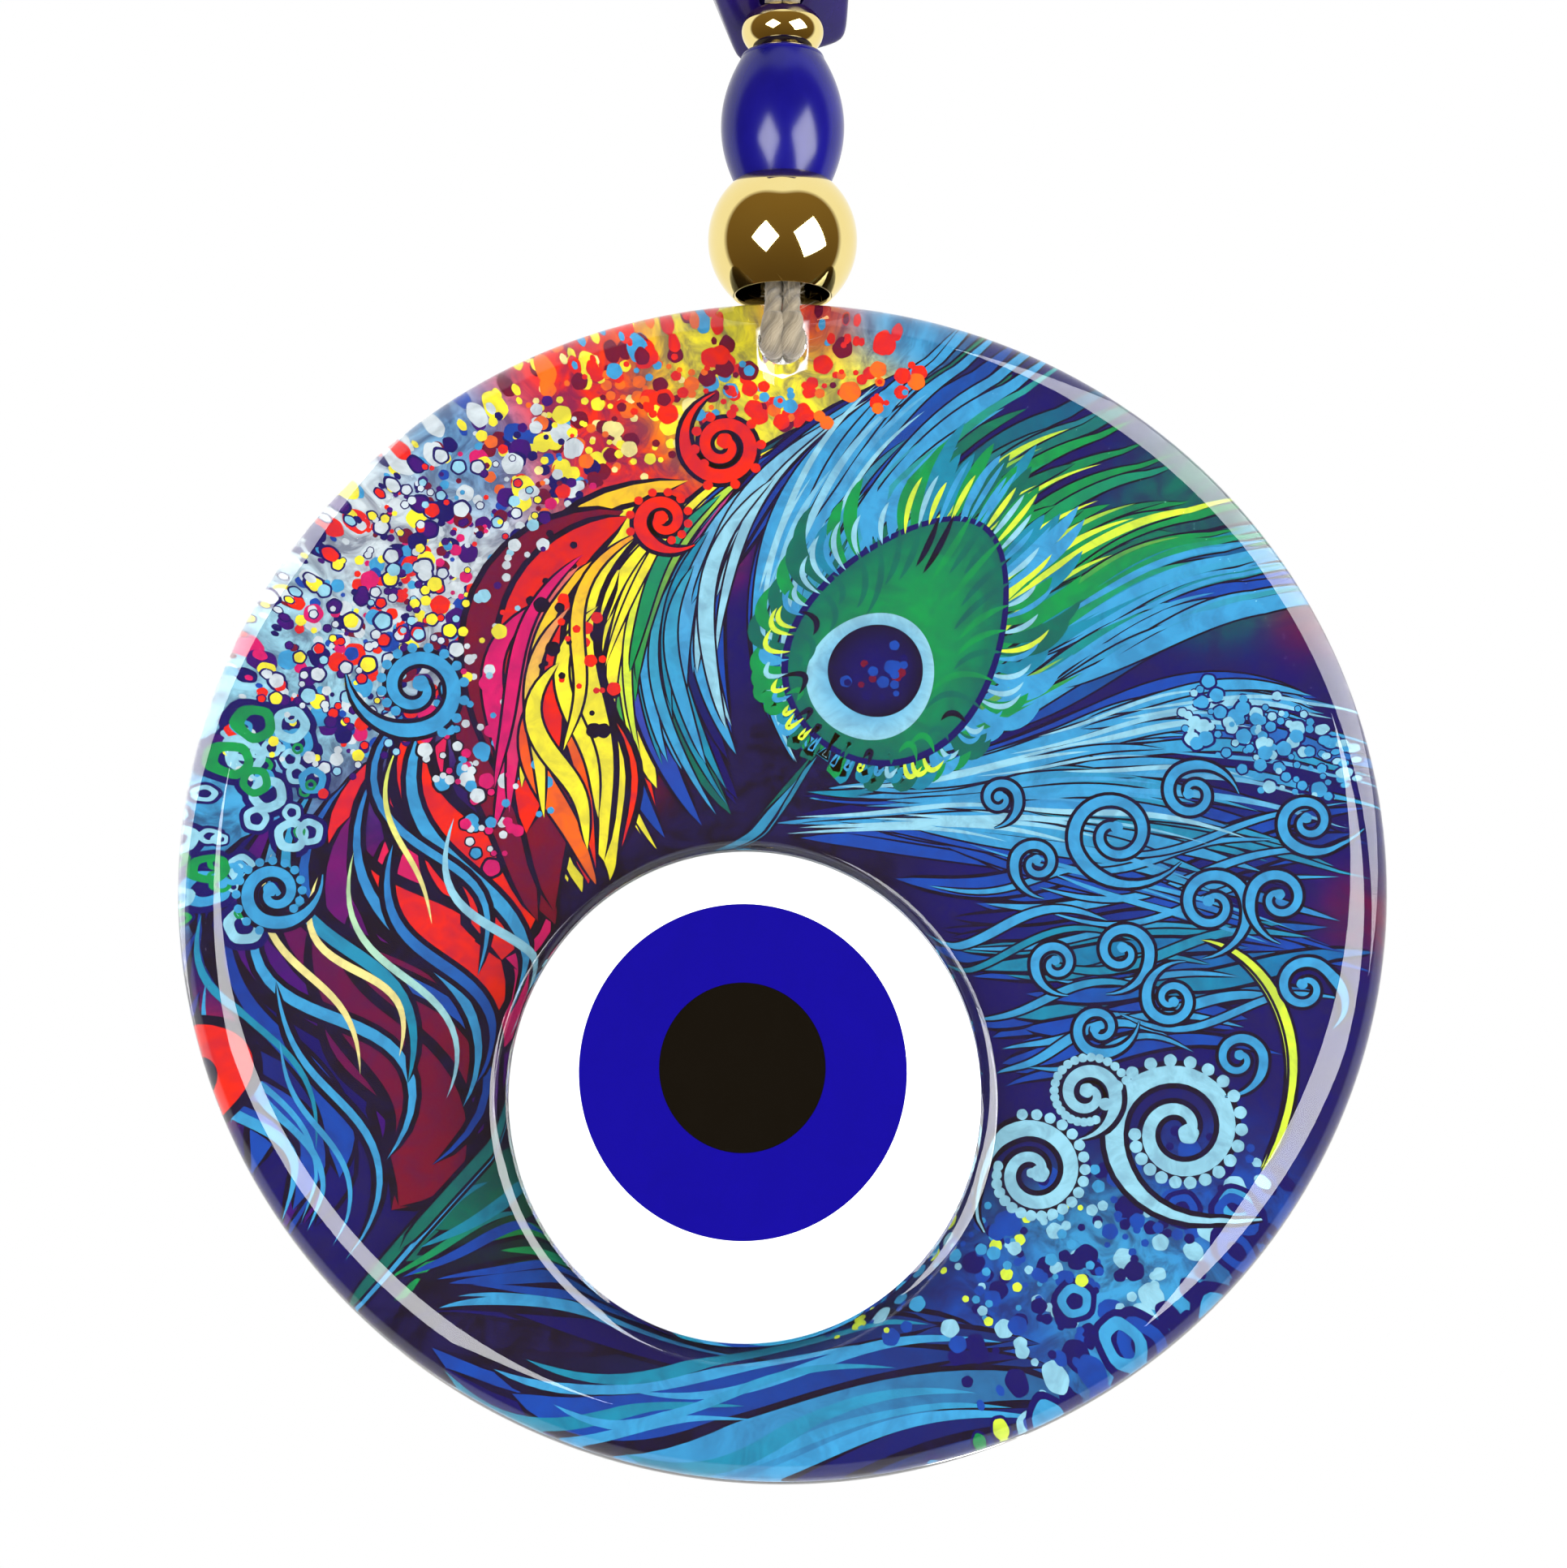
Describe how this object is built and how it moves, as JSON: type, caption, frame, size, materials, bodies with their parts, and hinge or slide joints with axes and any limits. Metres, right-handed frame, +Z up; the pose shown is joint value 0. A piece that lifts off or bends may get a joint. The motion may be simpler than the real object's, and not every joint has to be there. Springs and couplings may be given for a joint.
{
  "type": "evil eye wall hanging",
  "caption": "Round glass plate with a printed back and a fused glass eye, hung by a doubled twine threaded with glass and gilt beads and knotted into a loop.",
  "frame": {"origin": "inside top of the hanging loop, where a hook or nail holds the ornament", "axes": "+Z up; the plate hangs in the XZ plane and its printed front with the eye faces -Y"},
  "size_m": [0.13, 0.0168, 0.2401],
  "materials": {
    "clear_glass": "fire polished",
    "print_ink": "gloss",
    "backing_vinyl": "matte",
    "white_glass": "fire polished",
    "cobalt_glass": "fire polished",
    "black_glass": "fire polished",
    "blue_bead_glass": "gloss",
    "indigo_glass": "polished",
    "gold_plate": "mirror",
    "hemp_twine": "natural"
  },
  "bodies": {
    "loop": {"hanging_loop": "hemp_twine"},
    "knot": {"top_knot": "hemp_twine", "twine_tail_left": "hemp_twine", "twine_tail_right": "hemp_twine"},
    "column": {"twine_strand_front_left": "hemp_twine", "twine_strand_front_right": "hemp_twine", "twine_strand_back_left": "hemp_twine", "twine_strand_back_right": "hemp_twine"},
    "upper_gold": {"upper_gold_bead": "gold_plate"},
    "nugget": {"nugget_bead": "indigo_glass"},
    "lower_gold": {"lower_gold_bead": "gold_plate"},
    "barrel": {"barrel_bead": "blue_bead_glass"},
    "large_gold": {"large_gold_bead": "gold_plate"},
    "plate": {"glass_plate": "clear_glass", "printed_film": "print_ink", "backing_sheet": "backing_vinyl", "eye_white": "white_glass", "eye_iris": "cobalt_glass", "eye_pupil": "black_glass", "twine_bight_left": "hemp_twine", "twine_bight_right": "hemp_twine"}
  },
  "joints": [
    {"name": "side_swing", "type": "hinge", "parent": "loop", "child": "knot", "pos_m": [0, 0, -0.044], "axis": [0, 1, 0], "range_deg": [-15, 15]},
    {"name": "twine_twist", "type": "hinge", "parent": "knot", "child": "column", "pos_m": [0, 0, -0.0517], "axis": [0, 0, 1], "range_deg": [-90, 90]},
    {"name": "upper_gold_spin", "type": "hinge", "parent": "column", "child": "upper_gold", "pos_m": [0, 0, -0.0545], "axis": [0, 0, 1], "continuous": true},
    {"name": "nugget_spin", "type": "hinge", "parent": "column", "child": "nugget", "pos_m": [0, 0, -0.06476], "axis": [0, 0, 1], "continuous": true},
    {"name": "lower_gold_spin", "type": "hinge", "parent": "column", "child": "lower_gold", "pos_m": [0, 0, -0.07731], "axis": [0, 0, 1], "continuous": true},
    {"name": "barrel_spin", "type": "hinge", "parent": "column", "child": "barrel", "pos_m": [0, 0, -0.08846], "axis": [0, 0, 1], "continuous": true},
    {"name": "large_gold_spin", "type": "hinge", "parent": "column", "child": "large_gold", "pos_m": [0, 0, -0.10159], "axis": [0, 0, 1], "continuous": true},
    {"name": "plate_swing", "type": "hinge", "parent": "column", "child": "plate", "pos_m": [0, 0, -0.10654], "axis": [1, 0, 0], "range_deg": [-12, 1]}
  ]
}
